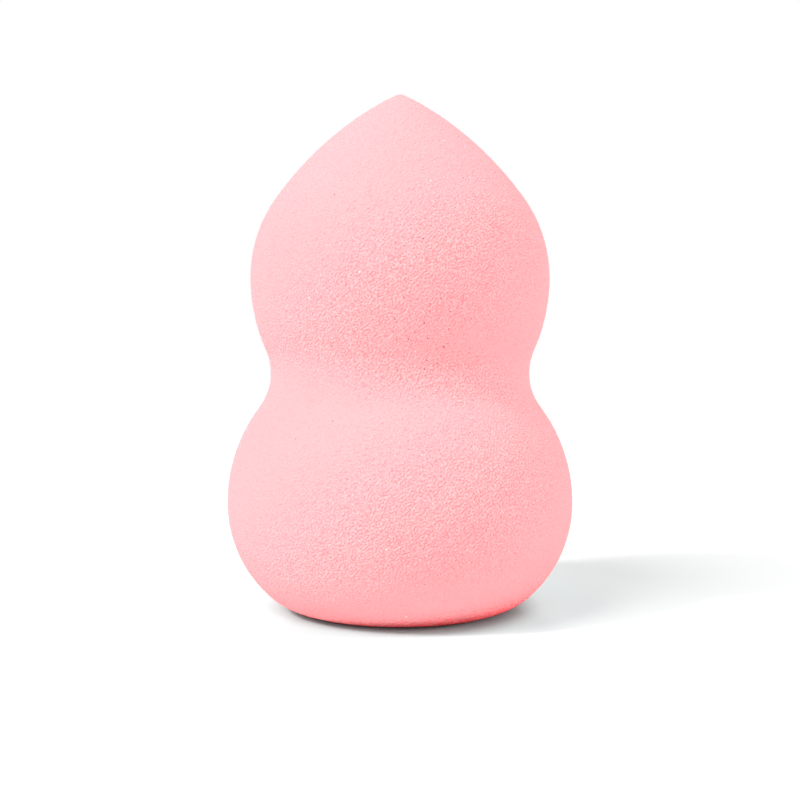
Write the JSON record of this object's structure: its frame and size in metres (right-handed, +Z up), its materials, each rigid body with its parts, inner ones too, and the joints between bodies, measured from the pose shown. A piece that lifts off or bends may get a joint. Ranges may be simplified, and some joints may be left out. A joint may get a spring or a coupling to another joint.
{
  "type": "makeup sponge",
  "caption": "Gourd-shaped makeup sponge of soft foam: round belly, drawn-in waist, upper bulb closing to a rounded point, flat base.",
  "frame": {"origin": "centre of the flat base that the sponge stands on", "axes": "+Z up along the axis of revolution, from the base to the pointed tip; the picture looks along +Y, with +X to its right"},
  "size_m": [0.0402, 0.0402, 0.06],
  "materials": {
    "foam": "matte, fine-celled polyurethane foam with a closed moulded skin, pale pink"
  },
  "bodies": {
    "root": {"sponge_body": "foam"}
  },
  "joints": []
}
